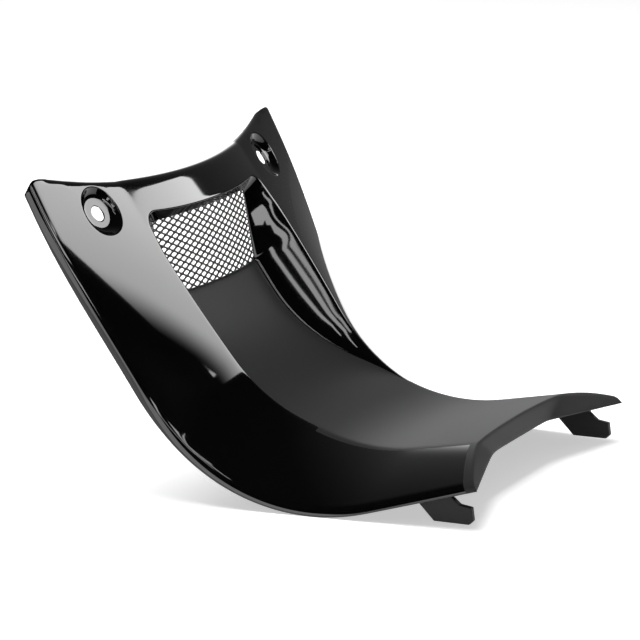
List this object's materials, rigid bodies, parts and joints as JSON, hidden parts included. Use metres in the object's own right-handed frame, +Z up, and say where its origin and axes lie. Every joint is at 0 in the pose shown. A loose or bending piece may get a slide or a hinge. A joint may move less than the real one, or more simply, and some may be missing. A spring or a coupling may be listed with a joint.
{
  "type": "intake tunnel cover",
  "caption": "Moulded motorbike intake tunnel cover: swept shell with a sunken scoop, a metal mesh across its end, dished fixing recesses and hook tabs.",
  "frame": {"origin": "on the mid-plane, midway between the tips of the two hook tabs and level with their feet", "axes": "+X across the cover, +Y from the tail lip towards the top edge, +Z up, with the cover held at the tilt the picture shows"},
  "size_m": [0.2498, 0.2057, 0.1456],
  "materials": {
    "shell": "gloss black moulding, matt black on the scoop floor, tail top and lip",
    "grille": "satin black expanded metal"
  },
  "bodies": {
    "root": {"cover_shell": "shell", "mesh_grille": "grille"}
  },
  "joints": []
}
